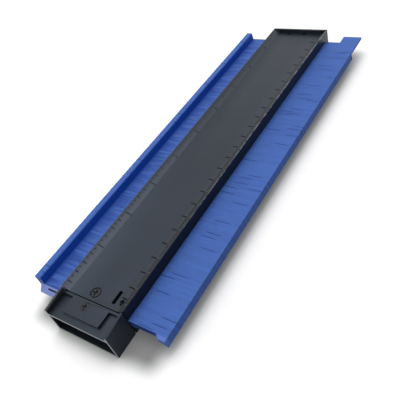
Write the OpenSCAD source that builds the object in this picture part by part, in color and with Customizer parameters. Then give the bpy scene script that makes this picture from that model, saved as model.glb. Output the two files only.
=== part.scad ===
// Contour gauge: two moulded frame halves hold a comb of thin sliding teeth.
// X runs along the comb from the open socket to the finger tab, Y across it, Z up.
// The origin is the middle of the outline on the surface that the gauge lies on.

/* [Frame] */
// Width of the frame across the comb
frame_w = 42.8; // [38:0.2:46]
// Height of the frame from its underside to its rims
frame_h = 19.1; // [18.6:0.1:22]
// Thickness of the frame's side walls and underside
frame_wall = 2; // [1.6:0.1:2.4]
// Depth of the scale tray below the rims
tray_depth = 2.7; // [2:0.1:3]
// Thickness of the tray floor
tray_floor_t = 1.8; // [1.4:0.1:2]
// Width of each sloped scale band between tray and rim
band_w = 4; // [3:0.1:5]
// Flat width on top of each rim
rim_w = 0.6; // [0.4:0.1:1]
// Length of the solid block that joins the halves at the far end
far_block_len = 4.2; // [3.8:0.1:6]
// Thickness of the raised wall at the far end
end_wall_t = 1.3; // [1:0.1:1.6]
// Spacing of the cross ribs inside the halves
rib_pitch = 25; // [18:1:40]
// Thickness of the ribs
rib_t = 1.5; // [1.2:0.1:2]

/* [End cap] */
// Length of the open socket
cap_len = 14.3; // [13:0.1:18]
// Wall thickness of the socket
cap_wall = 1.4; // [1.1:0.1:1.6]
// Fall of the side rims towards the open end
cap_fall = 1.8; // [0.8:0.1:2.2]
// Height of the raised pad above the sunk top
pad_h = 1.6; // [1:0.1:1.8]
// Length of the raised pad
pad_len = 9.1; // [7.5:0.1:9.5]
// Width of the raised pad
pad_w = 25; // [16:0.5:32]
// Length of the frame spigot inside the socket
spigot_len = 6.7; // [6:0.1:7.5]

/* [Teeth] */
// Number of tooth banks
bank_count = 32; // [20:1:36]
// Number of teeth in a bank
teeth_per_bank = 5; // [3:1:8]
// Distance from tooth to tooth
tooth_pitch = 1.49; // [1.2:0.01:2]
// Height of a tooth blade
tooth_h = 4.5; // [4.1:0.1:4.7]
// Half length of a blade
reach = 44.6; // [40:0.1:50]
// Sideways stand of the whole comb at rest
comb_shift = -0.6; // [-2:0.1:2]
// Thickness of the left lip, and length of the right foot
lip_t = 4.6; // [3.5:0.1:5]
// Rise of the left lip above the blade
lip_up = 4.9; // [3:0.1:5]
// Drop of the right foot below the blade
foot_drop = 0.4; // [0.2:0.1:3]
// Lean of both ends away from the frame
lip_lean = 0.5; // [0:0.1:0.8]
// Chamfer along the edges of the left lip
lip_chamfer = 0.5; // [0.3:0.1:0.8]
// Height of the guide slot through every blade
slot_h = 1.7; // [1.6:0.05:1.9]
// Largest uneven stand of a tooth at rest
tooth_stagger = 0.06; // [0:0.01:0.35]

/* [End teeth] */
// Thickness of the near end tooth
near_tooth_t = 2; // [1.5:0.1:2.6]
// How far the sloped left arm of the near end tooth stands forward
arm_forward = 3.5; // [2:0.1:4.5]
// Height of the upright edge at the foot of that arm
arm_edge = 0.6; // [0.4:0.1:1.2]
// Distance from the frame's side to that arm
arm_gap = 4.8; // [3:0.1:6]
// Distance from that arm to the end of the blade
arm_inset = 2; // [1:0.1:4]
// Height of the slit in that arm
slit_h = 0.6; // [0.4:0.05:0.9]
// Drop of the slit below the blade's top
slit_drop = 1.2; // [1:0.1:1.6]
// Distance from the slit to the end of the blade
slit_inset = 8; // [6:0.1:10]
// Length of the finger pad at the right end of the near end tooth
finger_len = 6.6; // [5:0.1:9]
// How far the finger pad stands forward
finger_forward = 2.3; // [1:0.1:3]
// Thickness of the finger pad at its root
finger_t = 0.8; // [0.6:0.1:2]
// Width of the far end piece along the comb
far_piece_w = 12.9; // [9:0.1:18]
// Thickness of the flat right arm and the finger tab
tab_t = 1.4; // [1.1:0.05:1.4]
// Length of the finger tab past the comb
tab_len = 8.15; // [6:0.05:11]
// Width of the finger tab
tab_w = 13; // [8:0.1:14]

/* [Guides and clamp] */
// Diameter of the guide rods
rod_d = 1.5; // [1.2:0.05:1.5]
// Distance from the frame's side to a guide rod
rod_inset = 3.2; // [3:0.1:5]
// Thickness of the clamp strip
strip_t = 1; // [0.8:0.1:1.2]
// Width of the clamp strip
strip_w = 30; // [26:0.5:32]
// Stroke of the clamp strip down to the teeth
strip_stroke = 0.2; // [0.15:0.05:0.3]

/* [Screws] */
// Diameter of the cap screw's and the far screws' shanks
screw_d = 2; // [1.8:0.1:2.2]
// Diameter of the cap screw's and the far screws' heads
screw_head_d = 4.4; // [4:0.1:4.8]
// Height of the cap screw's and the far screws' heads
screw_head_h = 1.4; // [1.2:0.1:1.6]
// Diameter of the tension screw's shank
tension_d = 3; // [2.6:0.1:3.4]
// Diameter of the tension screw's head
tension_head_d = 5; // [4.6:0.1:5.6]
// Height of the tension screw's head
tension_head_h = 1; // [0.9:0.1:1.1]
// Distance of the cap screw from the end of the cap
cap_screw_inset = 3.8; // [3.2:0.1:4]
// Distance of the tension screw from the start of the tray
tension_inset = 4.7; // [4.6:0.1:7]
// Sideways place of the cap screw, the tension screw and the middle of the far screws
screw_y = 2; // [-4:0.1:4]
// Distance of each far screw from their middle
far_screw_y = 6; // [4:0.5:12]
// Width of the bars of a cross recess
cross_w = 0.8; // [0.6:0.05:0.9]
// Depth of a cross recess
cross_depth = 0.8; // [0.5:0.05:0.8]

/* [Sight slot] */
// Length of the narrow slot in the tray
sight_len = 7.7; // [4:0.1:9]
// Width of the narrow slot in the tray
sight_w = 2.1; // [1.2:0.1:2.6]
// Sideways place of the narrow slot
sight_y = -11.2; // [-13:0.1:-8]
// How far the narrow slot starts before the middle of the tension screw
sight_back = 1.9; // [1:0.1:3]

/* [Fits] */
// Clearance of sliding and seated fits
fit = 0.1; // [0.08:0.01:0.12]
// Play of the guide rods in their bores
rod_play = 0.025; // [0.02:0.005:0.05]
// Play of the tension screw's head in its counterbore
well_play = 1.2; // [0.8:0.1:1.4]
// Gap between neighbouring teeth
tooth_gap = 0.06; // [0.04:0.01:0.1]
// Gap between pieces that do not touch
free_gap = 0.3; // [0.25:0.01:0.35]
// Width of the open joint between tray and end cap
groove_w = 0.5; // [0.4:0.05:0.6]

/* [Hidden] */
$fn = 48;
bank_ids = [for (i = [1 : bank_count]) i];
function bank_name(i) = str("tooth_bank_", i < 10 ? "0" : "", i);

// Colours of the moulded black, the blue teeth, the bare metal and the strip
frame_colour = "#44484f";
teeth_colour = "#4868b2";
steel_colour = "#9a9da2";
strip_colour = "#26282c";

// Share of a screw head's width that its cross recess spans
cross_share = 0.7;
// Turn from tooth to tooth that makes their uneven stand look random
stagger_turn = 137.5;
// Overlap that makes two volumes of one piece join
weld = 0.4;
// Length by which a cut runs past the face that it opens
cut = 1;

// Places along X, measured from the open end of the socket
comb_x0 = cap_len + free_gap;
bank_x0 = comb_x0 + near_tooth_t;
bank_len = teeth_per_bank * tooth_pitch;
far_x0 = bank_x0 + bank_count * bank_len;
comb_x1 = far_x0 + far_piece_w;
frame_x0 = cap_len + groove_w;
far_block_x0 = comb_x1 + free_gap;
frame_x1 = far_block_x0 + far_block_len;
spigot_x0 = cap_len - spigot_len;
overall_len = comb_x1 + tab_len;
near_wall_t = frame_wall;
tension_x = frame_x0 + tension_inset;
cap_screw_x = cap_len - cap_screw_inset;
far_screw_x = far_block_x0 + (far_block_len - end_wall_t) / 2;
sight_x0 = tension_x - sight_back;

// Heights
half_w = frame_w / 2;
mid_z = frame_h / 2;
tooth_z0 = mid_z - tooth_h / 2;
tooth_z1 = mid_z + tooth_h / 2;
channel_z0 = tooth_z0 - fit;
channel_z1 = tooth_z1 + fit;
tray_z = frame_h - tray_depth;
tray_under_z = tray_z - tray_floor_t;
cap_floor_z = tray_z - pad_h;
cap_ceiling_z = cap_floor_z - cap_wall;
strip_z0 = tooth_z1 + strip_stroke + fit;
strip_z1 = strip_z0 + strip_t;
strip_stop_z = strip_z1 + fit;
far_screw_len = tray_z - tray_depth;

// Places across Y
inner_half_w = half_w - frame_wall;
spigot_half_w = half_w - cap_wall - fit;
rod_y = half_w - rod_inset;
strip_half_w = strip_w / 2;

// Places across Y on a tooth, from the middle of its blade
travel = reach - lip_t - half_w - tooth_stagger - free_gap;
slot_half_len = rod_y + travel + tooth_stagger + rod_d;
arm_y = half_w + arm_gap - comb_shift;
tab_travel = reach - comb_shift - tab_w - half_w - free_gap;
far_slot_y0 = -(rod_y + rod_d + tab_travel + comb_shift);
far_body_y0 = far_slot_y0 - slot_h;

// Moves a piece from socket measure to the part's own frame, with the comb's middle on the X axis
module placed() {
    translate([-overall_len / 2, -comb_shift, 0]) children();
}

// Carries an outline drawn in Y and Z along X
module along_x(x0, x1) {
    translate([x0, 0, 0]) rotate([90, 0, 90]) linear_extrude(x1 - x0) children();
}

// Box given by its two corners
module block(low, high) {
    translate(low) cube(high - low);
}

// Outline of the upper half: side walls, tray floor, scale bands and rims
module upper_outline() {
    slope_y = half_w - rim_w;
    floor_y = slope_y - band_w;
    polygon([
        [-half_w, channel_z1], [-half_w, frame_h], [-slope_y, frame_h], [-floor_y, tray_z],
        [floor_y, tray_z], [slope_y, frame_h], [half_w, frame_h], [half_w, channel_z1],
        [inner_half_w, channel_z1], [inner_half_w, tray_under_z],
        [-inner_half_w, tray_under_z], [-inner_half_w, channel_z1]
    ]);
}

// Outline of the lower half: side walls and underside
module lower_outline() {
    polygon([
        [-half_w, 0], [half_w, 0], [half_w, channel_z0], [inner_half_w, channel_z0],
        [inner_half_w, frame_wall], [-inner_half_w, frame_wall], [-inner_half_w, channel_z0],
        [-half_w, channel_z0]
    ]);
}

// Cross ribs between the inner walls, from one height to another
module cross_ribs(z0, z1) {
    for (x = [frame_x0 + rib_pitch : rib_pitch : far_block_x0 - rib_pitch / 2])
        block([x, -inner_half_w - weld, z0], [x + rib_t, inner_half_w + weld, z1]);
}

// Bores along X that hold the ends of both guide rods
module rod_bores() {
    for (side = [-1, 1])
        translate([spigot_x0 + rod_d, side * rod_y, mid_z]) rotate([0, 90, 0])
            cylinder(h = frame_x1 - spigot_x0 - 2 * rod_d, d = rod_d + rod_play);
}

// Bores along Z for both far screws
module far_screw_bores(z0, z1, d) {
    for (side = [-1, 1])
        translate([far_screw_x, screw_y + side * far_screw_y, z0]) cylinder(h = z1 - z0, d = d);
}

// Two crossed bars that sink a driver recess into a screw head at its top face
module cross_recess(span) {
    translate([-span / 2, -cross_w / 2, -cross_depth]) cube([span, cross_w, cross_depth + cut]);
    translate([-cross_w / 2, -span / 2, -cross_depth]) cube([cross_w, span, cross_depth + cut]);
}

// Screw with its head's top face at the origin, pointing down
module cross_screw(length, shank_d, head_d, head_h) {
    difference() {
        union() {
            translate([0, 0, -head_h]) cylinder(h = head_h, d = head_d);
            translate([0, 0, -length]) cylinder(h = length - head_h / 2, d = shank_d);
        }
        cross_recess(head_d * cross_share);
    }
}

module upper_frame() {
    boss_d = tension_d + 2 * frame_wall;
    well_d = tension_head_d + well_play;
    color(frame_colour) difference() {
        union() {
            along_x(frame_x0, frame_x1) upper_outline();
            // Raised end wall, and the block that meets the lower half
            block([frame_x1 - end_wall_t, -half_w, mid_z], [frame_x1, half_w, frame_h]);
            block([far_block_x0, -half_w, mid_z], [frame_x1, half_w, tray_z - weld]);
            // Near wall with the spigot that the end cap slides over
            block([frame_x0, -inner_half_w - weld, channel_z1],
                  [frame_x0 + near_wall_t, inner_half_w + weld, tray_z - weld]);
            block([spigot_x0, -spigot_half_w, channel_z1],
                  [frame_x0 + near_wall_t, spigot_half_w, cap_ceiling_z - fit]);
            block([spigot_x0, -spigot_half_w, mid_z],
                  [cap_len, spigot_half_w, channel_z1 + weld]);
            // Ribs that hold the clamp strip from above, and boss of the tension screw
            cross_ribs(strip_stop_z, tray_z - weld);
            translate([tension_x, screw_y, strip_stop_z])
                cylinder(h = tray_z - weld - strip_stop_z, d = boss_d);
        }
        rod_bores();
        far_screw_bores(mid_z - cut, tray_z + cut, screw_d + fit);
        translate([cap_screw_x, screw_y, mid_z - cut])
            cylinder(h = frame_h, d = screw_d + fit);
        // Counterbore and bore of the tension screw
        translate([tension_x, screw_y, tray_z - tension_head_h]) cylinder(h = frame_h, d = well_d);
        translate([tension_x, screw_y, strip_stop_z - cut]) cylinder(h = frame_h, d = tension_d + fit);
        // Sight slot above the clamp strip
        block([sight_x0, sight_y - sight_w / 2, tray_under_z - cut],
              [sight_x0 + sight_len, sight_y + sight_w / 2, tray_z + cut]);
    }
}

module lower_frame() {
    color(frame_colour) difference() {
        union() {
            along_x(frame_x0, frame_x1) lower_outline();
            block([far_block_x0, -half_w, 0], [frame_x1, half_w, mid_z]);
            block([frame_x0, -inner_half_w - weld, 0],
                  [frame_x0 + near_wall_t, inner_half_w + weld, channel_z0]);
            block([spigot_x0, -spigot_half_w, cap_wall + fit],
                  [frame_x0 + near_wall_t, spigot_half_w, channel_z0]);
            block([spigot_x0, -spigot_half_w, channel_z0 - weld], [cap_len, spigot_half_w, mid_z]);
            cross_ribs(frame_wall - weld, channel_z0);
        }
        rod_bores();
        far_screw_bores(-cut, mid_z + cut, screw_d + fit);
        far_screw_bores(-cut, screw_head_h + 2 * fit, screw_head_d + 2 * fit);
        translate([cap_screw_x, screw_y, cap_wall + fit + frame_wall])
            cylinder(h = frame_h, d = screw_d + fit);
    }
}

// Side outline of the cap, drawn in X and Z: the rims fall towards the open end
module cap_side_outline() {
    polygon([[0, 0], [cap_len, 0], [cap_len, frame_h], [0, frame_h - cap_fall]]);
}

module end_cap() {
    color(frame_colour) difference() {
        translate([0, half_w, 0]) rotate([90, 0, 0]) linear_extrude(frame_w) cap_side_outline();
        // Socket, open at the near end and closed by the spigot at the other
        block([-cut, -half_w + cap_wall, cap_wall], [cap_len + cut, half_w - cap_wall, cap_ceiling_z]);
        // Sunk top around the pad
        difference() {
            block([-cut, -half_w + cap_wall, cap_floor_z],
                  [cap_len - cap_wall, half_w - cap_wall, frame_h + cut]);
            block([cap_len - cap_wall - pad_len, -pad_w / 2, 0], [cap_len, pad_w / 2, tray_z]);
        }
        // The rear rim stays as low as the tray
        block([cap_len - cap_wall - weld, -half_w + cap_wall, tray_z],
              [cap_len + cut, half_w - cap_wall, frame_h + cut]);
        translate([cap_screw_x, screw_y, cap_ceiling_z - cut]) cylinder(h = frame_h, d = screw_d + fit);
        translate([cap_screw_x, screw_y, tray_z - screw_head_h - fit])
            cylinder(h = frame_h, d = screw_head_d + 2 * fit);
    }
}

module cap_screw() {
    color(steel_colour) translate([cap_screw_x, screw_y, tray_z])
        cross_screw(tray_z - cap_wall - frame_wall - 2 * fit, screw_d, screw_head_d, screw_head_h);
}

module far_screws() {
    color(steel_colour) for (side = [-1, 1])
        translate([far_screw_x, screw_y + side * far_screw_y, fit]) mirror([0, 0, 1])
            cross_screw(far_screw_len, screw_d, screw_head_d, screw_head_h);
}

module guide_rod(side) {
    color(steel_colour) translate([spigot_x0 + rod_d + fit, side * rod_y, mid_z]) rotate([0, 90, 0])
        cylinder(h = frame_x1 - spigot_x0 - 2 * rod_d - 2 * fit, d = rod_d);
}

module tension_screw() {
    color(steel_colour) translate([tension_x, screw_y, tray_z])
        cross_screw(tray_z - strip_z1 - fit / 2, tension_d, tension_head_d, tension_head_h - fit);
}

module clamp_strip() {
    color(strip_colour) block([frame_x0 + near_wall_t + free_gap, -strip_half_w, strip_z0],
                              [far_block_x0 - free_gap, strip_half_w, strip_z1]);
}

// Outline of the blade with its left lip, drawn in Y and Z
module blade_outline(y0) {
    tip_y = reach + lip_lean;
    tip_z = tooth_z1 + lip_up;
    root_y = reach - lip_t;
    polygon([
        [y0, tooth_z0], [reach, tooth_z0], [tip_y, tip_z - lip_chamfer], [tip_y - lip_chamfer, tip_z],
        [root_y + lip_lean + lip_chamfer, tip_z], [root_y + lip_lean, tip_z - lip_chamfer],
        [root_y, tooth_z1], [y0, tooth_z1]
    ]);
}

// Outline of the foot under the right end of a blade
module foot_outline() {
    tip_y = -reach - lip_lean;
    tip_z = tooth_z0 - foot_drop;
    root_y = -reach + lip_t;
    polygon([
        [-reach, tooth_z1], [tip_y, tip_z], [root_y - foot_drop, tip_z], [root_y, tooth_z0],
        [root_y, tooth_z1]
    ]);
}

// Guide slot between two ends, drawn in Y and Z
module slot_outline(y0, y1) {
    translate([y0, mid_z - slot_h / 2]) square([y1 - y0, slot_h]);
    for (y = [y0, y1]) translate([y, mid_z]) circle(d = slot_h);
}

// Whole outline of one tooth
module tooth_outline() {
    difference() {
        union() {
            blade_outline(-reach);
            foot_outline();
        }
        slot_outline(-slot_half_len, slot_half_len);
    }
}

// Uneven stand of a tooth, from its number
function stand(i) = tooth_stagger * sin(i * stagger_turn);

module tooth_bank(bank) {
    color(teeth_colour) for (k = [0 : teeth_per_bank - 1]) {
        number = (bank - 1) * teeth_per_bank + k;
        x0 = bank_x0 + number * tooth_pitch;
        translate([0, comb_shift + stand(number), 0])
            along_x(x0, x0 + tooth_pitch - tooth_gap) tooth_outline();
    }
}

// Plan of the pad that the near end tooth is pushed by, drawn in X and Y
module finger_outline() {
    root_y = -reach + finger_len;
    tip_y = -reach - lip_lean;
    polygon([
        [comb_x0 + weld, root_y], [comb_x0, root_y],
        [comb_x0 - finger_forward, root_y - finger_forward], [comb_x0 - finger_forward, tip_y],
        [comb_x0 + weld, tip_y]
    ]);
}

// Front of that pad, drawn in Y and Z: thin at its root and as high as the blade at its end
module finger_front() {
    root_y = -reach + finger_len;
    polygon([
        [root_y, tooth_z1], [root_y, tooth_z1 - finger_t], [-reach - lip_lean, tooth_z0 - foot_drop],
        [-reach, tooth_z1]
    ]);
}

// Side of the left arm, drawn in X and Z: its front slopes down from the blade's top
module arm_side() {
    back_x = comb_x0 + weld;
    front_x = comb_x0 - arm_forward;
    polygon([
        [back_x, tooth_z0], [back_x, tooth_z1], [comb_x0, tooth_z1], [front_x, tooth_z0 + arm_edge],
        [front_x, tooth_z0]
    ]);
}

module near_end_tooth() {
    arm_y1 = reach - arm_inset;
    slit_z1 = tooth_z1 - slit_drop;
    color(teeth_colour) translate([0, comb_shift, 0]) {
        along_x(comb_x0, bank_x0 - tooth_gap) tooth_outline();
        difference() {
            translate([0, arm_y1, 0]) rotate([90, 0, 0]) linear_extrude(arm_y1 - arm_y) arm_side();
            block([comb_x0 - arm_forward, arm_y - cut, slit_z1 - slit_h],
                  [comb_x0 - free_gap, reach - slit_inset, slit_z1]);
        }
        intersection() {
            translate([0, 0, tooth_z0 - foot_drop]) linear_extrude(tooth_h + foot_drop) finger_outline();
            along_x(comb_x0 - finger_forward, comb_x0 + weld) finger_front();
        }
    }
}

module far_end_piece() {
    tab_y0 = -reach;
    color(teeth_colour) translate([0, comb_shift, 0]) {
        difference() {
            along_x(far_x0, comb_x1) blade_outline(far_body_y0);
            along_x(far_x0 - cut, comb_x1 + cut) slot_outline(far_slot_y0, slot_half_len);
        }
        block([far_x0, tab_y0, tooth_z1 - tab_t], [comb_x1, far_body_y0 + weld, tooth_z1]);
        block([comb_x1 - weld, tab_y0, tooth_z1 - tab_t],
              [comb_x1 + tab_len, tab_y0 + tab_w, tooth_z1]);
    }
}

placed() upper_frame();
placed() lower_frame();
placed() end_cap();
placed() cap_screw();
placed() far_screws();
placed() guide_rod(1);  // guide_rod_left
placed() guide_rod(-1);  // guide_rod_right
placed() tension_screw();
placed() clamp_strip();
placed() near_end_tooth();
placed() far_end_piece();
for (i = bank_ids)
    placed() tooth_bank(i);
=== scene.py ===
"""Looks of a contour gauge: black moulded frame, blue sliding comb, raised scales, studio and camera."""

import logging
import math
from dataclasses import dataclass, field
from enum import Enum
from typing import Any

import bpy
import numpy as np
from mathutils import Matrix, Vector


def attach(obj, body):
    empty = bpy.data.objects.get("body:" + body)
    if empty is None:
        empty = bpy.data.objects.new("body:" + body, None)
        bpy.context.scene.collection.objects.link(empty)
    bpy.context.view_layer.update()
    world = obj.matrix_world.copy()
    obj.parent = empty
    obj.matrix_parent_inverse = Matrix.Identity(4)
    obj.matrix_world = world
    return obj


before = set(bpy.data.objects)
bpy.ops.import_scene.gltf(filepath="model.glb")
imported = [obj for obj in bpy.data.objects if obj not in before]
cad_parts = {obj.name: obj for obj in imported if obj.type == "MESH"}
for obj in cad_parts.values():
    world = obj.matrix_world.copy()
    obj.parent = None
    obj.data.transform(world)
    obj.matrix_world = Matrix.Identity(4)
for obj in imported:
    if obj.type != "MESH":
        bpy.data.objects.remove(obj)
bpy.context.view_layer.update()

LOG = logging.getLogger("contour_gauge")
MM = 0.001
INCH = 25.4

WHITE = "#ffffff"
# Width in millimetres over which one painted area runs into the next.
EDGE = 0.1
# Span of a noise texture that holds most of its values.
NOISE_LOW, NOISE_HIGH = 0.3, 0.7
# Settings of nodes: one colour over another, a tinted colour, sums on numbers, and a ramp with soft ends.
OVER = {"data_type": "RGBA"}
TINT = {"data_type": "RGBA", "blend_type": "MULTIPLY"}
TIMES = {"operation": "MULTIPLY"}
TIMES_PLUS = {"operation": "MULTIPLY_ADD"}
MINUS = {"operation": "SUBTRACT"}
UNSIGNED = {"operation": "ABSOLUTE"}
WHOLE = {"operation": "FLOOR"}
LARGER = {"operation": "MAXIMUM"}
SMOOTH = {"interpolation_type": "SMOOTHSTEP"}

# Zero of both scales along X, and height of the tray's floor, in millimetres.
SCALE_START = -119.0
TRAY_FLOOR = 16.4
# Share of a raised stroke's width that its top keeps, as the draft of a mould leaves it.
TOP_SHARE = 0.8
# Rounding of CAD edges: gap in millimetres that is welded, least angle in degrees, and number of facets.
WELD_GAP = 0.002
ROUND_FROM = 35.0
ROUND_STEPS = 2


class Side(Enum):
    """The two long sides of the frame, with the sign of Y that each lies on."""

    LEFT = 1
    RIGHT = -1


class Slot(Enum):
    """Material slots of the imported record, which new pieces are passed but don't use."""

    BLACK = "frame_black"


def linear(hex_colour: str) -> tuple[float, float, float, float]:
    """Turn an sRGB hex colour into linear light, by the straight and the curved part of the sRGB standard.

    Args:
        hex_colour: Six hex digits with a leading hash.

    Returns:
        Red, green, blue and an alpha of one.
    """
    code = np.array([int(hex_colour[i : i + 2], 16) for i in (1, 3, 5)]) / 255
    straight = code / 12.92
    curved = ((code + 0.055) / 1.055) ** 2.4
    red, green, blue = np.where(code <= 0.04045, straight, curved)
    return float(red), float(green), float(blue), 1.0


def add_node(
    tree: bpy.types.NodeTree, kind: str, settings: dict[str, Any] | None = None, **inputs: Any
) -> bpy.types.Node:
    """Add a node, set its options, and fill or link its inputs.

    Args:
        tree: Node tree that gets the node.
        kind: Type name of the node, without its ShaderNode prefix.
        settings: Options of the node by name.
        inputs: Values, sockets or nodes by input name, with _ for a space, or by number as in_0.
            A node is linked from its first output that is in use.

    Returns:
        The new node.
    """
    node = tree.nodes.new("ShaderNode" + kind)
    for name, value in (settings or {}).items():
        setattr(node, name, value)
    for name, value in inputs.items():
        socket = node.inputs[int(name[3:]) if name.startswith("in_") else name.replace("_", " ")]
        if isinstance(value, bpy.types.Node):
            value = next(output for output in value.outputs if output.enabled)
        if isinstance(value, bpy.types.NodeSocket):
            tree.links.new(value, socket)
        else:
            socket.default_value = value
    return node


def empty_tree(owner: bpy.types.ID) -> bpy.types.NodeTree:
    """Turn on the nodes of a material or a world, and clear them.

    Args:
        owner: The material or the world.

    Returns:
        Its empty node tree.
    """
    owner.use_nodes = True
    owner.node_tree.nodes.clear()
    return owner.node_tree


def place_in_mm(tree: bpy.types.NodeTree) -> bpy.types.Node:
    """Add the place on the object, in millimetres.

    Args:
        tree: Node tree of the material.

    Returns:
        Node with the place as a vector.
    """
    metres = add_node(tree, "TexCoord").outputs["Object"]
    return add_node(tree, "VectorMath", {"operation": "SCALE"}, in_0=metres, Scale=1 / MM)


def rays_shown(tree: bpy.types.NodeTree) -> bpy.types.Node:
    """Add a mask of the rays that show the background: from the camera, off gloss and through clear pieces.

    Args:
        tree: Node tree of the floor or the sky.

    Returns:
        Node that is one for these rays and nought for the others.
    """
    rays = add_node(tree, "LightPath").outputs
    seen = add_node(tree, "Math", LARGER, in_0=rays["Is Camera Ray"], in_1=rays["Is Glossy Ray"])
    return add_node(tree, "Math", LARGER, in_0=seen, in_1=rays["Is Transmission Ray"])


def add_object(name: str, data: bpy.types.ID) -> bpy.types.Object:
    """Put a mesh, a lamp or a camera into the scene, at the origin.

    Args:
        name: Name of the object.
        data: What the object holds.

    Returns:
        The new object.
    """
    made = bpy.data.objects.new(name, data)
    bpy.context.scene.collection.objects.link(made)
    return made


@dataclass(frozen=True)
class Finish:
    """One surface finish: colour, gloss, and a fine grain that breaks up both and roughens the surface.

    Patterns are worked out in millimetres on the object. The grain is drawn at 0.5 mm, coarser than the
    real 0.1 mm, so that it shows.
    """

    name: str
    colour: str
    roughness: float
    ior: float = 1.53
    metallic: float = 0.0
    sheen: str = WHITE
    grain_mm: float = 0.5
    grain_detail: float = 3.0
    mottle: float = 0.12
    gloss_span: float = 0.06
    bump: float = 0.35
    bump_mm: float = 0.02

    def material(self) -> bpy.types.Material:
        """Return the material of this finish, made once."""
        return bpy.data.materials.get(self.name) or self.make()

    def make(self) -> bpy.types.Material:
        """Make the material: one shader, with the paint, gloss and grain of the finish.

        Returns:
            The new material.
        """
        material = bpy.data.materials.new(self.name)
        tree = empty_tree(material)
        place = place_in_mm(tree)
        grain = self.grain(tree, place)
        low, high = self.roughness - self.gloss_span, self.roughness + self.gloss_span
        gloss = add_node(tree, "MapRange", in_0=grain, in_1=NOISE_LOW, in_2=NOISE_HIGH, in_3=low, in_4=high)
        relief = add_node(tree, "Bump", Strength=self.bump, Distance=self.bump_mm * MM, Height=grain)
        shader = add_node(
            tree,
            "BsdfPrincipled",
            Base_Color=self.paint(tree, place, grain),
            Roughness=gloss,
            IOR=self.ior,
            Metallic=self.metallic,
            Specular_Tint=self.gleam(tree, place),
            Normal=relief,
        )
        add_node(tree, "OutputMaterial", Surface=shader)
        return material

    def grain(self, tree: bpy.types.NodeTree, place: bpy.types.Node) -> bpy.types.Node:
        """Return the grain of the surface: noise as fine as the grain."""
        return add_node(tree, "TexNoise", Vector=place, Scale=1 / self.grain_mm, Detail=self.grain_detail)

    def paint(self, tree: bpy.types.NodeTree, place: bpy.types.Node, grain: bpy.types.Node) -> bpy.types.Node:
        """Return the colour of the surface: one colour, mottled by the grain."""
        return self.mottled(tree, linear(self.colour), grain)

    def gleam(self, tree: bpy.types.NodeTree, place: bpy.types.Node) -> Any:
        """Return the colour of the reflection, which is the same all over."""
        return linear(self.sheen)

    def mottled(self, tree: bpy.types.NodeTree, colour: Any, noise: bpy.types.Node) -> bpy.types.Node:
        """Make a colour lighter and darker by a noise.

        Args:
            tree: Node tree of the material.
            colour: The colour, or a node that gives it.
            noise: Node that gives the noise.

        Returns:
            Node with the mottled colour.
        """
        low, high = 1 - self.mottle, 1 + self.mottle
        tone = add_node(tree, "MapRange", in_0=noise, in_1=NOISE_LOW, in_2=NOISE_HIGH, in_3=low, in_4=high)
        return add_node(tree, "Mix", TINT, in_0=1.0, in_6=colour, in_7=tone)


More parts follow.
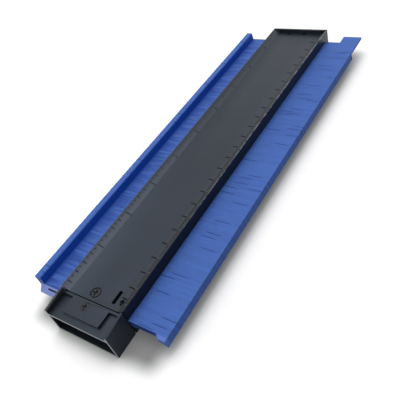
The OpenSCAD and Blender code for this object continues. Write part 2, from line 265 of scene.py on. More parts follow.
@dataclass(frozen=True)
class MouldedBlack(Finish):
    """Black ABS from a spark-eroded mould: satin, with soft clouds in its black.

    The left scale band carries a painted pale sheen, which stands in for the reflection of the light and is
    strongest by the socket. The right rim carries painted highlights as grey spots away from the socket, the
    mouth of the socket a painted grey highlight, and the right side of the frame reflects less.
    """

    mottle: float = 0.2
    cloud_mm: float = 22.0
    cloud_detail: float = 2.0
    # Painted sheen on the left scale band: a pale colour that stands in for the reflection of the light,
    # stronger by the socket.
    band: str = "#3a3c3e"
    band_sheen_x_mm: tuple[float, float] = (-123.0, 60.0)
    band_sheen_share: tuple[float, float] = (0.8, 0.42)
    band_y_mm: float = 17.35
    band_z_mm: float = 16.42
    # Painted highlights on the right rim: grey spots that stand in for light caught along its edge.
    rim: str = "#6f747c"
    rim_x_mm: tuple[float, float] = (-100.0, 40.0)
    rim_y_mm: float = -20.0
    rim_z_mm: float = 18.9
    spot_mm: float = 2.4
    spot_detail: float = 0.0
    spot_cut: tuple[float, float] = (0.48, 0.56)
    spot_floor: float = 0.1
    # Painted highlight on the mouth of the socket: a grey that stands in for the glare of the light on its
    # edges.
    mouth: str = "#8f9198"
    mouth_x_mm: float = -137.9
    dull: str = "#6f7f9a"
    dull_x_mm: float = -123.4
    dull_y_mm: float = -16.2

    def paint(self, tree: bpy.types.NodeTree, place: bpy.types.Node, grain: bpy.types.Node) -> bpy.types.Node:
        """Lay the painted sheen of the band and the painted highlights of rim and mouth over a clouded black.

        Each mask is a chain of ramps along the axes, and each ramp ends at the value of the one before it.

        Args:
            tree: Node tree of the material.
            place: Node that gives the place in millimetres.
            grain: Node that gives the grain.

        Returns:
            Node with the colour.
        """
        axis = add_node(tree, "SeparateXYZ", in_0=place).outputs
        cloud = add_node(tree, "TexNoise", Vector=place, Scale=1 / self.cloud_mm, Detail=self.cloud_detail)
        clouded = self.mottled(tree, linear(self.colour), cloud)

        # Painted sheen on the left scale band, fading along X away from the socket.
        start, end = self.band_sheen_x_mm
        pale, faint = self.band_sheen_share
        fade = add_node(tree, "MapRange", in_0=axis["X"], in_1=start, in_2=end, in_3=pale, in_4=faint)
        low, foot = self.band_z_mm, self.band_y_mm
        above = add_node(tree, "MapRange", in_0=axis["Z"], in_1=low, in_2=low + EDGE, in_4=fade)
        band = add_node(tree, "MapRange", in_0=axis["Y"], in_1=foot, in_2=foot + EDGE, in_4=above)
        band_sheened = add_node(tree, "Mix", OVER, in_0=band, in_6=clouded, in_7=linear(self.band))

        # Painted highlights on the top of the right rim, in spots away from the socket.
        none, full = self.spot_cut
        noise = add_node(tree, "TexNoise", Vector=place, Scale=1 / self.spot_mm, Detail=self.spot_detail)
        spots = add_node(tree, "MapRange", in_0=noise, in_1=none, in_2=full, in_3=self.spot_floor)
        start, end = self.rim_x_mm
        low, inner = self.rim_z_mm, self.rim_y_mm
        along = add_node(tree, "MapRange", in_0=axis["X"], in_1=start, in_2=end, in_4=spots)
        above = add_node(tree, "MapRange", in_0=axis["Z"], in_1=low, in_2=low + EDGE, in_4=along)
        rim = add_node(tree, "MapRange", in_0=axis["Y"], in_1=inner, in_2=inner - EDGE, in_4=above)
        rim_glinted = add_node(tree, "Mix", OVER, in_0=rim, in_6=band_sheened, in_7=linear(self.rim))

        # Painted highlight on the mouth of the socket.
        mouth_x = self.mouth_x_mm
        mouth = add_node(tree, "MapRange", in_0=axis["X"], in_1=mouth_x, in_2=mouth_x - EDGE)
        return add_node(tree, "Mix", OVER, in_0=mouth, in_6=rim_glinted, in_7=linear(self.mouth))

    def gleam(self, tree: bpy.types.NodeTree, place: bpy.types.Node) -> bpy.types.Node:
        """Return the colour of the reflection: duller on the right side of the frame, which hands wear matt.

        Args:
            tree: Node tree of the material.
            place: Node that gives the place in millimetres.

        Returns:
            Node with the colour.
        """
        axis = add_node(tree, "SeparateXYZ", in_0=place).outputs
        start, foot = self.dull_x_mm, self.dull_y_mm
        along = add_node(tree, "MapRange", in_0=axis["X"], in_1=start, in_2=start + EDGE)
        by_place = add_node(tree, "MapRange", in_0=axis["Y"], in_1=foot, in_2=foot - EDGE, in_4=along)
        return add_node(tree, "Mix", OVER, in_0=by_place, in_6=linear(self.sheen), in_7=linear(self.dull))


@dataclass(frozen=True)
class MouldedBlue(Finish):
    """Matt blue ABS teeth from many cavities: each tooth a shade apart, with drag lines along it.

    The drag lines are drawn about 9 mm long and as wide as a tooth, because finer ones would not show. Each
    tooth has a painted highlight along its rounded edges, and some have painted shade in the gap beside them.
    Painted shade deepens on the left ends towards the lips and lies on the inner faces of the lips, and the
    arm and the finger pad of the near end tooth carry painted pale light, with painted shade in the slit of
    the arm.
    """

    gloss_span: float = 0.04
    bump: float = 0.4
    bump_mm: float = 0.04
    pitch_mm: float = 1.49
    first_x_mm: float = -121.425
    lane_gap: float = 3.7
    drag_mm: float = 9.0
    drag: float = 0.06
    shade: float = 0.05
    tooth_middle: float = 0.48
    # Painted highlight along the rounded edges of each tooth.
    edge_part: tuple[float, float] = (0.34, 0.4)
    edge_light: float = 1.2
    # Painted shade in the gap beside some teeth.
    line: str = "#22408a"
    line_mm: tuple[float, float] = (25.0, 45.0)
    line_half_mm: tuple[float, float] = (5.5, 3.3)
    line_part: tuple[float, float] = (0.36, 0.24)
    line_share: float = 0.18
    # Painted shade on the blades towards the lips, and on the inner faces of the lips.
    lip_shade: str = "#1f459a"
    lip_shade_from_mm: tuple[float, float] = (18.0, 38.0)
    lip_shade_share: float = 0.9
    lip: str = "#1050c0"
    lip_root_mm: float = 40.0
    lip_face_mm: float = 40.5
    blade_top_mm: float = 11.9
    # Painted pale light on the arm and the pad of the near end tooth, standing in for the light on their
    # faces.
    arm: str = "#8698de"
    pad: str = "#5875c4"
    lit_face_x_mm: float = -123.6
    # Painted shade in the slit of the arm.
    slit: str = "#0b1330"
    slit_y_mm: float = 36.6
    slit_z_mm: tuple[float, float] = (9.95, 10.65)

    def count(self, tree: bpy.types.NodeTree, place: bpy.types.Node) -> bpy.types.Node:
        """Count the teeth up to a place: X from the first tooth, over the pitch.

        Args:
            tree: Node tree of the material.
            place: Node that gives the place in millimetres.

        Returns:
            Node with the count, whose fraction is the place within a tooth.
        """
        along = add_node(tree, "SeparateXYZ", in_0=place).outputs["X"]
        from_first = add_node(tree, "Math", MINUS, in_0=along, in_1=self.first_x_mm)
        return add_node(tree, "Math", TIMES, in_0=from_first, in_1=1 / self.pitch_mm)

    def grain(self, tree: bpy.types.NodeTree, place: bpy.types.Node) -> bpy.types.Node:
        """Return the drag lines: noise stretched along Y, with a lane of its own for each tooth.

        Args:
            tree: Node tree of the material.
            place: Node that gives the place in millimetres.

        Returns:
            Node with the noise.
        """
        number = add_node(tree, "Math", WHOLE, in_0=self.count(tree, place))
        across = add_node(tree, "Math", TIMES, in_0=number, in_1=self.lane_gap)
        length = add_node(tree, "SeparateXYZ", in_0=place).outputs["Y"]
        along = add_node(tree, "Math", TIMES, in_0=length, in_1=1 / self.drag_mm)
        lane = add_node(tree, "CombineXYZ", in_0=across, in_1=along)
        return add_node(tree, "TexNoise", Vector=lane, Scale=1.0, Detail=self.grain_detail)

    def paint(self, tree: bpy.types.NodeTree, place: bpy.types.Node, grain: bpy.types.Node) -> bpy.types.Node:
        """Tone each tooth, then lay on painted shade by some teeth and the lips, and painted light and shade
        on the near end.

        Each mask is a chain of ramps, and each ramp ends at the value of the one before it.

        Args:
            tree: Node tree of the material.
            place: Node that gives the place in millimetres.
            grain: Node that gives the drag lines.

        Returns:
            Node with the colour.
        """
        axis = add_node(tree, "SeparateXYZ", in_0=place).outputs
        count = self.count(tree, place)
        number = add_node(tree, "Math", WHOLE, in_0=count)
        part = add_node(tree, "Math", {"operation": "FRACT"}, in_0=count)
        draw = add_node(tree, "TexWhiteNoise", {"noise_dimensions": "1D"}, W=number).outputs
        chance = add_node(tree, "SeparateXYZ", in_0=draw["Color"]).outputs

        # A tone for each tooth, streaks along it, and a painted highlight on its rounded edges.
        low, high = 1 - self.shade, 1 + self.shade
        tone = add_node(tree, "MapRange", in_0=draw["Value"], in_3=low, in_4=high)
        low, high = 1 - self.drag, 1 + self.drag
        streak = add_node(tree, "MapRange", in_0=grain, in_1=NOISE_LOW, in_2=NOISE_HIGH, in_3=low, in_4=high)
        aside = add_node(tree, "Math", MINUS, in_0=part, in_1=self.tooth_middle)
        off_middle = add_node(tree, "Math", UNSIGNED, in_0=aside)
        inner, outer = self.edge_part
        bright = self.edge_light
        light = add_node(tree, "MapRange", in_0=off_middle, in_1=inner, in_2=outer, in_3=1.0, in_4=bright)
        shaded = add_node(tree, "Math", TIMES, in_0=tone, in_1=streak)
        edged = add_node(tree, "Math", TIMES, in_0=shaded, in_1=light)
        toned = add_node(tree, "Mix", TINT, in_0=1.0, in_6=linear(self.colour), in_7=edged)

        # Painted shade: a dark line in the gap beside some teeth, for a stretch at both ends.
        near, far = self.line_mm
        middle = add_node(tree, "MapRange", in_0=chance["Y"], in_3=near, in_4=far)
        out = add_node(tree, "Math", UNSIGNED, in_0=axis["Y"])
        aside = add_node(tree, "Math", MINUS, in_0=out, in_1=middle)
        off_middle = add_node(tree, "Math", UNSIGNED, in_0=aside)
        picked = add_node(tree, "Math", {"operation": "LESS_THAN"}, in_0=chance["X"], in_1=self.line_share)
        none, full = self.line_part
        beside = add_node(tree, "MapRange", in_0=part, in_1=none, in_2=full, in_4=picked)
        none, full = self.line_half_mm
        line = add_node(tree, "MapRange", in_0=off_middle, in_1=none, in_2=full, in_4=beside)
        lined = add_node(tree, "Mix", OVER, in_0=line, in_6=toned, in_7=linear(self.line))

        # Painted shade from a chance place on each tooth to the foot of its lip, and another on the lip's
        # inner face.
        near, far = self.lip_shade_from_mm
        start = add_node(tree, "MapRange", in_0=chance["Z"], in_3=near, in_4=far)
        face, top = self.lip_face_mm, self.blade_top_mm
        before = add_node(
            tree, "MapRange", in_0=axis["Y"], in_1=face, in_2=face + EDGE, in_3=self.lip_shade_share, in_4=0.0
        )
        lip_shade_mask = add_node(tree, "MapRange", in_0=axis["Y"], in_1=start, in_2=self.lip_root_mm, in_4=before)
        above = add_node(tree, "MapRange", in_0=axis["Z"], in_1=top, in_2=top + EDGE)
        corner = add_node(tree, "Mix", OVER, in_0=above, in_6=linear(self.lip_shade), in_7=linear(self.lip))
        darkened = add_node(tree, "Mix", OVER, in_0=lip_shade_mask, in_6=lined, in_7=corner)

        # Painted pale light on the pad and the arm of the near end tooth, and painted shade in the slit of
        # the arm.
        face = self.lit_face_x_mm
        near_face = add_node(tree, "MapRange", in_0=axis["X"], in_1=face, in_2=face - EDGE)
        pad_lit = add_node(tree, "Mix", OVER, in_0=near_face, in_6=darkened, in_7=linear(self.pad))
        left = add_node(tree, "MapRange", in_0=axis["Y"], in_1=0.0, in_2=EDGE, in_4=near_face)
        arm_lit = add_node(tree, "Mix", OVER, in_0=left, in_6=pad_lit, in_7=linear(self.arm))
        # Painted shade in the slit of the arm.
        end = self.slit_y_mm
        low, high = self.slit_z_mm
        short = add_node(tree, "MapRange", in_0=axis["Y"], in_1=end, in_2=end + EDGE, in_3=left, in_4=0.0)
        blur = EDGE / 2
        over = add_node(tree, "MapRange", in_0=axis["Z"], in_1=low - blur, in_2=low, in_4=short)
        slit = add_node(tree, "MapRange", in_0=axis["Z"], in_1=high, in_2=high + blur, in_3=over, in_4=0.0)
        return add_node(tree, "Mix", OVER, in_0=slit, in_6=arm_lit, in_7=linear(self.slit))


@dataclass(frozen=True)
class FadingMark(Finish):
    """Moulded marks that are darker and reflect less by the socket, and run to another colour and a full
    reflection further along the frame.
    """

    far_colour: str = "#34383e"
    fade_x_mm: tuple[float, float] = (-110.0, -20.0)
    near_sheen: str = "#5a626e"

    def far_share(self, tree: bpy.types.NodeTree, place: bpy.types.Node) -> bpy.types.Node:
        """Work out how far the marks have run to their far look: from nought by the socket to one further
        along X.

        Args:
            tree: Node tree of the material.
            place: Node that gives the place in millimetres.

        Returns:
            Node with the share.
        """
        start, end = self.fade_x_mm
        along = add_node(tree, "SeparateXYZ", in_0=place).outputs["X"]
        return add_node(tree, "MapRange", in_0=along, in_1=start, in_2=end)

    def gleam(self, tree: bpy.types.NodeTree, place: bpy.types.Node) -> bpy.types.Node:
        """Return the colour of the reflection: weak by the socket, full further along X.

        Args:
            tree: Node tree of the material.
            place: Node that gives the place in millimetres.

        Returns:
            Node with the colour.
        """
        share = self.far_share(tree, place)
        darkened, far_colour = linear(self.near_sheen), linear(self.sheen)
        return add_node(tree, "Mix", OVER, in_0=share, in_6=darkened, in_7=far_colour)

    def paint(self, tree: bpy.types.NodeTree, place: bpy.types.Node, grain: bpy.types.Node) -> bpy.types.Node:
        """Run from the near colour to the far one along X, mottled by the grain.

        Args:
            tree: Node tree of the material.
            place: Node that gives the place in millimetres.
            grain: Node that gives the grain.

        Returns:
            Node with the colour.
        """
        share = self.far_share(tree, place)
        by_place = add_node(tree, "Mix", OVER, in_0=share, in_6=linear(self.colour), in_7=linear(self.far_colour))
        return self.mottled(tree, by_place, grain)


# Black ABS: almost no colour of its own, so the eye sees the cool sheen of a white room on a fine grain.
BLACK_ABS = MouldedBlack("abs_black_spark_eroded", "#14181f", 0.39, sheen="#d0e4ff")
# Blue ABS: matt and strongly coloured, so each tooth shows by its shade and not by a reflection.
BLUE_ABS = MouldedBlue("abs_blue_moulded", "#4165b1", 0.62, ior=1.3)
# Raised black marks. A pale copy, whose colour is a painted highlight, for the ticks and numbers of the right
# scale.
MARK_HIGHLIT = Finish("abs_black_mark_highlight", "#4c4f54", 0.5)
# A dark copy for the dashes, which are partly 10 mm marks and partly painted shadow beside the numbers of the
# right scale, and for the arrow and the line at the foot of the right band. Darker by the socket, lighter
# further along X.
MARK_DARK_AND_SHADOW = FadingMark(
    "abs_black_mark_dark_and_shadow",
    "#08090b",
    0.7,
    ior=1.35,
    sheen="#a8b4c4",
    far_colour="#1c1f23",
    fade_x_mm=(-110.0, 130.0),
)
# A copy for the ticks and numbers of the left scale, dark by the socket and lighter further along X.
MARK_FADING = FadingMark("abs_black_mark_fading", "#101215", 0.5, sheen="#d0e4ff")
# Steel screws in black zinc, and drawn steel wire: short fine marks break up the metal's gloss.
SCREW_ZINC = Finish(
    "steel_black_zinc", "#3a3b3f", 0.42, ior=1.5, metallic=1.0, grain_mm=0.25, gloss_span=0.12, bump=0.2
)
ROD_WIRE = Finish(
    "steel_drawn_wire", "#a9abae", 0.34, ior=1.5, metallic=1.0, grain_mm=0.25, gloss_span=0.12, bump=0.2
)
# Extruded acetal: a waxy, even black.
STRIP_ACETAL = Finish("acetal_black_extruded", "#1c1d20", 0.5, ior=1.48)


@dataclass
class MeshParts:
    """Points and faces of one piece while it is put together."""

    points: list[np.ndarray] = field(default_factory=list)
    faces: list[np.ndarray] = field(default_factory=list)
    count: int = 0

    def add(self, points: np.ndarray, quads: np.ndarray) -> None:
        """Add one shape.

        Args:
            points: Its points, one row each.
            quads: Its faces, by index into those points.
        """
        self.points.append(points)
        self.faces.append(quads + self.count)
        self.count += len(points)

    def piece(self, name: str, finish: Finish, body: str, slot: Slot) -> None:
        """Make the shapes one object that rides on a body, at the origin with its place in its mesh.

        Args:
            name: Name of the piece.
            finish: Its finish.
            body: CAD body that it moves with.
            slot: Material slot of the record; not used.
        """
        points, quads = np.concatenate(self.points), np.concatenate(self.faces)
        mesh = bpy.data.meshes.new(name)
        mesh.from_pydata(points.tolist(), [], quads.tolist())
        mesh.update()
        mesh.materials.append(finish.material())
        made = add_object(name, mesh)
        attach(made, body)
        LOG.info("piece %s: %d faces", name, len(quads))


def arc(cx: float, cy: float, rx: float, ry: float, start: float, end: float, steps: int = 14) -> np.ndarray:
    """Points on an ellipse: centre plus radius times cosine and sine of an angle from start to end.

    Args:
        cx: Centre across.
        cy: Centre up.
        rx: Radius across.
        ry: Radius up.
        start: First angle in degrees.
        end: Last angle in degrees.
        steps: Number of points.

    Returns:
        Array of points, one row each.
    """
    angle = np.radians(np.linspace(start, end, steps))
    return np.stack([cx + rx * np.cos(angle), cy + ry * np.sin(angle)], axis=1)


def numeral(digit: int) -> list[np.ndarray]:
    """Strokes of one digit in a box one wide and one high.

    Args:
        digit: The digit, from 0 to 9.

    Returns:
        One array of points for each stroke.
    """
    tail = np.array([(0.03, 0.34), (0.2, 0.72), (0.72, 1.0)])
    strokes = {
        0: [arc(0.5, 0.5, 0.46, 0.5, 90, 440)],
        1: [np.array([(0.22, 0.78), (0.56, 1.0), (0.56, 0.0)])],
        2: [np.vstack([arc(0.5, 0.71, 0.44, 0.29, 165, -35), [(0.02, 0.0), (1.0, 0.0)]])],
        3: [np.vstack([arc(0.46, 0.75, 0.42, 0.25, 150, -80), arc(0.48, 0.26, 0.48, 0.26, 80, -150)])],
        4: [np.array([(0.74, 0.0), (0.74, 1.0), (0.0, 0.3), (1.0, 0.3)])],
        5: [np.vstack([[(0.92, 1.0), (0.16, 1.0), (0.1, 0.56)], arc(0.47, 0.33, 0.48, 0.33, 125, -150)])],
        6: [arc(0.5, 0.31, 0.47, 0.31, 0, 350), tail],
        7: [np.array([(0.0, 1.0), (1.0, 1.0), (0.38, 0.0)])],
        8: [arc(0.5, 0.76, 0.38, 0.24, -90, 260), arc(0.5, 0.26, 0.47, 0.26, 90, 440)],
        9: [1.0 - arc(0.5, 0.31, 0.47, 0.31, 0, 350), 1.0 - tail],
    }
    return strokes[digit]


def ribbon(path: np.ndarray, width: float, rise: float) -> tuple[np.ndarray, np.ndarray]:
    """Carry a flat-topped profile along a path in a plane.

    The profile has its foot half the rise under the plane and its top, which is narrower, at the rise. Each
    station is the path's point moved half the width to both sides, along the mean normal of the two stretches
    that meet there.

    Args:
        path: Points in the plane, one row each.
        width: Width of the ribbon.
        rise: Height of its top above the plane.

    Returns:
        Points as across, up and out of the plane, and quads by index, with both ends closed.
    """
    run = np.gradient(path, axis=0)
    run /= np.linalg.norm(run, axis=1, keepdims=True)
    out = np.stack([-run[:, 1], run[:, 0]], axis=1) * width / 2
    foot = np.full((len(path), 1), -rise / 2)
    top = np.full((len(path), 1), rise)
    corners = [
        np.hstack([path + out, foot]),
        np.hstack([path + TOP_SHARE * out, top]),
        np.hstack([path - TOP_SHARE * out, top]),
        np.hstack([path - out, foot]),
    ]
    points = np.stack(corners, axis=1).reshape(-1, 3)
    count = len(corners)
    ring = np.arange(count)
    beside = (ring + 1) % count
    start = count * np.arange(len(path) - 1)[:, None]
    end = start + count
    sides = np.stack([start + ring, start + beside, end + beside, end + ring], axis=2)
    last = count * (len(path) - 1)
    quads = np.vstack([sides.reshape(-1, count), [ring[::-1]], [last + ring]])
    return points, quads


@dataclass(frozen=True)
class Sheet:
    """A flat place on the frame that raised strokes are laid on, in millimetres."""

    origin: tuple[float, float, float]
    across: tuple[float, float, float]
    up: tuple[float, float, float]

    def lay(self, parts: MeshParts, path: np.ndarray, width: float, rise: float) -> None:
        """Lay one raised stroke.

        Args:
            parts: Mesh that gets the stroke.
            path: Points across and up the sheet.
            width: Width of the stroke.
            rise: Height of the stroke.
        """
        points, quads = ribbon(path, width, rise)
        axes = np.array([self.across, self.up, np.cross(self.across, self.up)])
        parts.add((np.array(self.origin) + points @ axes) * MM, quads)


@dataclass(frozen=True)
class Tick:
    """Ticks of one rank: every how many steps they stand, and their length and width in millimetres."""

    every: int
    length: float
    width: float


@dataclass
class ScaleBand:
    """Raised scale on a sloped band of the tray, in millimetres: ticks by the rim, numbers below them."""

    side: Side
    step: float
    steps: int
    per_number: int
    ticks: tuple[Tick, ...]
    finish: Finish
    foot_y: float = 16.8
    rim_y: float = 20.8
    rim_z: float = 19.1
    middle_y: float = 0.6
    rise: float = 0.12
    rim_gap: float = 0.3
    stroke: float = 0.34
    number_size: tuple[float, float] = (1.1, 1.8)
    number_gap: float = 0.45
    number_foot: float = 0.3
    line_finish: Finish | None = None
    line_from: int = 50
    line_width: float = 0.3

    def slope(self) -> float:
        """Return the length of the band up its slope."""
        return math.hypot(self.rim_y - self.foot_y, self.rim_z - TRAY_FLOOR)

    def sheet(self) -> Sheet:
        """Lay a sheet on the band, with its foot at the bottom.

        Returns:
            The sheet.
        """
        sign = self.side.value
        up = np.array([0, sign * (self.rim_y - self.foot_y), self.rim_z - TRAY_FLOOR]) / self.slope()
        return Sheet((0, self.middle_y + sign * self.foot_y, TRAY_FLOOR), (sign, 0, 0), tuple(up))

    def across(self, step: int) -> float:
        """Return the place of a step across the sheet."""
        return self.side.value * (SCALE_START + step * self.step)

    def tick_marks(self) -> MeshParts:
        """Make all ticks, each a ribbon from the rim down, as long and wide as its step asks.

        Returns:
            The shapes of the ticks.
        """
        parts = MeshParts()
        sheet = self.sheet()
        top = self.slope() - self.rim_gap
        for step in range(self.steps + 1):
            tick = next(tick for tick in self.ticks if step % tick.every == 0)
            path = np.array([(self.across(step), top - tick.length), (self.across(step), top)])
            sheet.lay(parts, path, tick.width, self.rise)
        return parts

    def number_marks(self) -> MeshParts:
        """Make all numbers, each digit a set of ribbons under its tick.

        Returns:
            The shapes of the numbers.
        """
        parts = MeshParts()
        sheet = self.sheet()
        size = np.array(self.number_size)
        pitch = self.number_size[0] + self.number_gap
        for step in range(self.per_number, self.steps + 1, self.per_number):
            digits = [int(d) for d in str(step // self.per_number)]
            left = self.across(step) - (len(digits) * pitch - self.number_gap) / 2
            for place, digit in enumerate(digits):
                corner = np.array([left + place * pitch, self.number_foot])
                for stroke in numeral(digit):
                    sheet.lay(parts, corner + stroke * size, self.stroke, self.rise)
        return parts

    def base_line(self) -> MeshParts:
        """Make the line at the foot of the band, one ribbon up to the last step.

        Returns:
            The shape of the line.
        """
        parts = MeshParts()
        foot = self.line_width / 2
        path = np.array([(self.across(self.line_from), foot), (self.across(self.steps), foot)])
        self.sheet().lay(parts, path, self.line_width, self.rise)
        return parts

    def build(self) -> None:
        """Make the ticks and the numbers of this band, and its base line where it has one."""
        name = self.side.name.lower()
        if self.line_finish:
            self.base_line().piece(f"scale_line_{name}", self.line_finish, "frame", Slot.BLACK)
        self.tick_marks().piece(f"scale_ticks_{name}", self.finish, "frame", Slot.BLACK)
        self.number_marks().piece(f"scale_numbers_{name}", self.finish, "frame", Slot.BLACK)


@dataclass
class TrayMarks:
    """Marks on the tray floor, in millimetres: a dash every ten and an arrow by the sight slot."""

    step: float = 10.0
    steps: int = 24
    dash: tuple[float, float] = (-12.6, -16.3)
    dash_width: float = 0.6
    dash_rise: float = 0.1
    arrow_tip: tuple[float, float] = (-116.6, -14.7)
    arrow_strokes: tuple[tuple[tuple[float, float], ...], ...] = (
        ((-1.6, 1.1), (0.0, 0.0), (-1.6, -1.1)),
        ((-3.2, 0.0), (-0.5, 0.0)),
        ((1.0, -1.2), (1.0, 1.2)),
    )
    arrow_width: float = 0.5
    arrow_rise: float = 0.25

    def build(self) -> None:
        """Make the dashes and the arrow, each a set of ribbons on the floor."""
        floor = Sheet((0, 0, TRAY_FLOOR), (1, 0, 0), (0, 1, 0))
        dashes = MeshParts()
        # The dashes are partly 10 mm marks and partly painted shadow beside the numbers of the right scale.
        inner, outer = self.dash
        for number in range(1, self.steps + 1):
            x = SCALE_START + number * self.step
            floor.lay(dashes, np.array([(x, outer), (x, inner)]), self.dash_width, self.dash_rise)
        dashes.piece("tray_dashes", MARK_DARK_AND_SHADOW, "frame", Slot.BLACK)
        arrow = MeshParts()
        for stroke in self.arrow_strokes:
            path = np.array(self.arrow_tip) + np.array(stroke)
            floor.lay(arrow, path, self.arrow_width, self.arrow_rise)
        arrow.piece("tray_arrow", MARK_DARK_AND_SHADOW, "frame", Slot.BLACK)


@dataclass
class FrameAssembly:
    """Both frame halves, the end cap and the scales on the tray."""

    shells: tuple[str, ...] = ("upper_frame", "lower_frame", "end_cap")
    edge_mm: float = 0.18
    inches: int = 9
    inch_parts: int = 8
    inch_ticks: tuple[Tick, ...] = (
        Tick(8, 2.6, 0.5),
        Tick(4, 2.2, 0.5),
        Tick(2, 1.9, 0.45),
        Tick(1, 1.2, 0.3),
    )
    centimetres: int = 24
    centimetre_parts: int = 10
    millimetre_ticks: tuple[Tick, ...] = (
        Tick(10, 2.2, 0.4),
        Tick(5, 1.7, 0.3),
        Tick(1, 1.1, 0.22),
    )

    def build(self) -> None:
        """Dress the shells, and make both scales and the marks on the tray."""
        for name in self.shells:
            dress_node(name, BLACK_ABS)
            soften(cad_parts[name], self.edge_mm)
        left = ScaleBand(
            side=Side.LEFT,
            step=INCH / self.inch_parts,
            steps=self.inches * self.inch_parts,
            per_number=self.inch_parts,
            ticks=self.inch_ticks,
            finish=MARK_FADING,
        )
        left.build()
        right = ScaleBand(
            side=Side.RIGHT,
            step=1.0,
            steps=self.centimetres * self.centimetre_parts,
            per_number=self.centimetre_parts,
            ticks=self.millimetre_ticks,
            finish=MARK_HIGHLIT,
            line_finish=MARK_DARK_AND_SHADOW,
        )
        right.build()
        TrayMarks().build()


@dataclass
class Comb:
    """The blue teeth: thirty-two banks, the near end tooth and the far end piece."""

    ends: tuple[str, ...] = ("near_end_tooth", "far_end_piece")
    bank_prefix: str = "tooth_bank_"
    edge_mm: float = 0.03

    def build(self) -> None:
        """Dress every tooth and soften its edges."""
        banks = sorted(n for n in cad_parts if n.startswith(self.bank_prefix))
        for name in (*self.ends, *banks):
            dress_node(name, BLUE_ABS)
            soften(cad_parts[name], self.edge_mm)


@dataclass
class Fittings:
    """Screws, guide rods and the clamp strip."""

    screws: tuple[str, ...] = ("cap_screw", "far_screws", "tension_screw")
    rods: tuple[str, ...] = ("guide_rod_left", "guide_rod_right")
    strip: str = "clamp_strip"
    edge_mm: float = 0.08

    def build(self) -> None:
        """Dress the metal fittings and the strip."""
        for name in self.screws:
            dress_node(name, SCREW_ZINC)
            soften(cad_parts[name], self.edge_mm)
        for name in self.rods:
            dress_node(name, ROD_WIRE)
        dress_node(self.strip, STRIP_ACETAL)


def dress_node(name: str, finish: Finish) -> None:
    """Put a finish on every material slot of a CAD node.

    Args:
        name: Name of the node.
        finish: The finish.
    """
    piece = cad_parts[name]
    piece.data.materials.clear()
    piece.data.materials.append(finish.material())
    LOG.info("dressed %s in %s", name, finish.name)


def soften(piece: bpy.types.Object, width_mm: float) -> None:
    """Round the sharp edges of a CAD node with modifiers: weld, bevel and weighted normals.

    Args:
        piece: The node's object.
        width_mm: Width of the rounding.
    """
    weld = piece.modifiers.new("weld", "WELD")
    weld.merge_threshold = WELD_GAP * MM
    bevel = piece.modifiers.new("bevel", "BEVEL")
    bevel.width = width_mm * MM
    bevel.segments = ROUND_STEPS
    bevel.limit_method = "ANGLE"
    bevel.angle_limit = math.radians(ROUND_FROM)
    bevel.use_clamp_overlap = True
    normals = piece.modifiers.new("normals", "WEIGHTED_NORMAL")
    normals.keep_sharp = False


@dataclass(frozen=True)
class Lamp:
    """A square soft lamp that faces the object, with place and size in metres and power in watts."""

    name: str
    place: tuple[float, float, float]
    size: float
    power: float

    def build(self) -> None:
        """Make the lamp and turn it to the origin."""
        data = bpy.data.lights.new(self.name, "AREA")
        data.shape = "SQUARE"
        data.size = self.size
        data.energy = self.power
        lamp = add_object(self.name, data)
        lamp.location = self.place
        lamp.rotation_mode = "QUATERNION"
        lamp.rotation_quaternion = (-Vector(self.place)).to_track_quat("-Z", "Y")


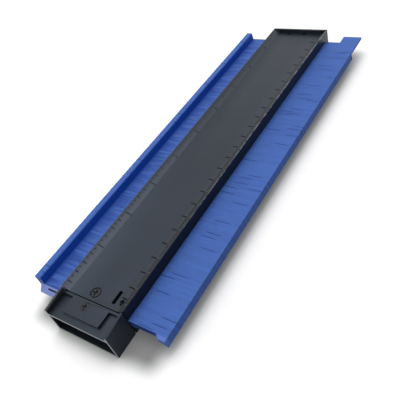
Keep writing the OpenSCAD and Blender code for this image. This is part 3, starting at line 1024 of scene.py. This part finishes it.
@dataclass
class Studio:
    """White floor, a light tent that is brightest over the far left, two soft lamps, and the camera.

    The camera's eye, lens and sensor are in millimetres, and so are the values whose names end in mm. Other
    lengths are in metres.
    """

    eye: tuple[float, float, float] = (-191.06, -165.32, 206.26)
    heading_deg: float = 45.627
    pitch_deg: float = -42.346
    roll_deg: float = -20.508
    lens: float = 45.325
    sensor: float = 36.0
    clip_start: float = 0.01
    floor_half: float = 4.0
    floor_colour: str = "#f1f1f1"
    floor_bounce: str = "#a0a0a0"
    floor_glow: float = 0.22
    contact_mm: float = 40.0
    contact_samples: int = 8
    contact_open: tuple[float, float] = (0.25, 0.75)
    contact_shade: float = 0.42
    corner_shade: float = 0.26
    corner_y_mm: tuple[float, float] = (48.0, 34.0)
    corner_x_mm: tuple[float, float] = (-144.0, -132.0)
    corner_end_mm: tuple[float, float] = (-122.0, -112.0)
    white_height: tuple[float, float] = (0.66, 0.85)
    zenith: float = 0.5
    sky: float = 0.28
    tent: float = 0.86
    tent_towards: tuple[float, float, float] = (0.612, 0.354, 0.707)
    lamps: tuple[Lamp, ...] = (
        Lamp("softbox_above", (0.15, 0.15, 1.0), 0.8, 5.0),
        Lamp("softbox_front", (-0.76, 0.76, 0.26), 0.6, 2.5),
    )

    def camera(self) -> None:
        """Make the camera from its place, heading, pitch and roll."""
        data = bpy.data.cameras.new("camera")
        data.lens = self.lens
        data.sensor_width = self.sensor
        data.clip_start = self.clip_start
        made = add_object("camera", data)
        heading, pitch, roll = (math.radians(a) for a in (self.heading_deg, self.pitch_deg, self.roll_deg))
        quarter = math.pi / 2
        turn = (
            Matrix.Rotation(heading - quarter, 4, "Z")
            @ Matrix.Rotation(pitch + quarter, 4, "X")
            @ Matrix.Rotation(roll, 4, "Z")
        )
        made.matrix_world = Matrix.Translation(Vector(self.eye) * MM) @ turn
        bpy.context.scene.camera = made

    def floor(self) -> None:
        """Make the floor: a pale sheet that the camera sees a little brighter, so that it reads as white."""
        half = self.floor_half
        mesh = bpy.data.meshes.new("floor")
        corners = [(-half, -half, 0), (half, -half, 0), (half, half, 0), (-half, half, 0)]
        mesh.from_pydata(corners, [], [(0, 1, 2, 3)])
        made = add_object("floor", mesh)
        mesh.materials.append(self.paper())

    def paper(self) -> bpy.types.Material:
        """Make the floor's material: matt paper, with a glow that camera, glossy and clear rays see.

        Those rays also see a deeper shadow where the object closes the floor in, and the deepest in the two
        corners between the socket and the comb. Each mask is a ramp that ends at the value of another.

        Returns:
            The new material.
        """
        material = bpy.data.materials.new("paper_white_sweep")
        tree = empty_tree(material)
        paper = add_node(tree, "BsdfDiffuse", Color=linear(self.floor_bounce))

        axis = add_node(tree, "SeparateXYZ", in_0=place_in_mm(tree)).outputs
        aside = add_node(tree, "Math", UNSIGNED, in_0=axis["Y"])
        start, end = self.corner_y_mm
        deep = self.corner_shade
        inward = add_node(tree, "MapRange", SMOOTH, in_0=aside, in_1=start, in_2=end, in_3=1.0, in_4=deep)
        along = axis["X"]
        start, end = self.corner_end_mm
        ended = add_node(tree, "MapRange", SMOOTH, in_0=along, in_1=start, in_2=end, in_3=inward, in_4=1.0)
        start, end = self.corner_x_mm
        corner = add_node(tree, "MapRange", SMOOTH, in_0=along, in_1=start, in_2=end, in_3=1.0, in_4=ended)
        samples = {"samples": self.contact_samples}
        around = add_node(tree, "AmbientOcclusion", samples, Distance=self.contact_mm * MM).outputs["AO"]
        closed, clear = self.contact_open
        dark = self.contact_shade
        shade = add_node(tree, "MapRange", in_0=around, in_1=closed, in_2=clear, in_3=dark, in_4=corner)

        tinted = add_node(tree, "Mix", TINT, in_0=1.0, in_6=linear(self.floor_colour), in_7=shade)
        shaded = add_node(tree, "BsdfDiffuse", Color=tinted)
        strength = add_node(tree, "Math", TIMES, in_0=shade, in_1=self.floor_glow)
        glow = add_node(tree, "Emission", Color=linear(WHITE), Strength=strength)
        lit = add_node(tree, "AddShader", in_0=shaded, in_1=glow)
        mixed = add_node(tree, "MixShader", in_0=rays_shown(tree), in_1=paper, in_2=lit)
        add_node(tree, "OutputMaterial", Surface=mixed)
        return material

    def light(self) -> None:
        """Make the sky and the lamps.

        The rays that show the background see white, which darkens towards the zenith. All others get an even
        sky and the tent, a lobe as strong as the square of the cosine between a ray and the tent's middle.
        """
        world = bpy.data.worlds.new("sky")
        bpy.context.scene.world = world
        tree = empty_tree(world)
        ray = add_node(tree, "TexCoord").outputs["Generated"]
        facing = add_node(tree, "VectorMath", {"operation": "DOT_PRODUCT"}, in_0=ray, in_1=self.tent_towards)
        toward = add_node(tree, "Math", LARGER, in_0=facing, in_1=0.0)
        lobe = add_node(tree, "Math", TIMES, in_0=toward, in_1=toward)
        glow = add_node(tree, "Math", TIMES_PLUS, in_0=lobe, in_1=self.tent, in_2=self.sky)
        height = add_node(tree, "SeparateXYZ", in_0=ray).outputs["Z"]
        low, high = self.white_height
        white = add_node(tree, "MapRange", in_0=height, in_1=low, in_2=high, in_3=1.0, in_4=self.zenith)
        strength = add_node(tree, "MapRange", in_0=rays_shown(tree), in_3=glow, in_4=white)
        sky = add_node(tree, "Background", Color=linear(WHITE), Strength=strength)
        add_node(tree, "OutputWorld", Surface=sky)
        for lamp in self.lamps:
            lamp.build()

    def build(self) -> None:
        """Set the view transform and make floor, light and camera."""
        bpy.context.scene.view_settings.view_transform = "Standard"
        self.floor()
        self.light()
        self.camera()


def main() -> None:
    """Build the studio and every sub-assembly."""
    logging.basicConfig(level=logging.INFO, format="%(name)s %(message)s")
    for part in (Studio(), FrameAssembly(), Comb(), Fittings()):
        part.build()
        LOG.info("built %s", type(part).__name__)


if __name__ == "__main__":
    main()
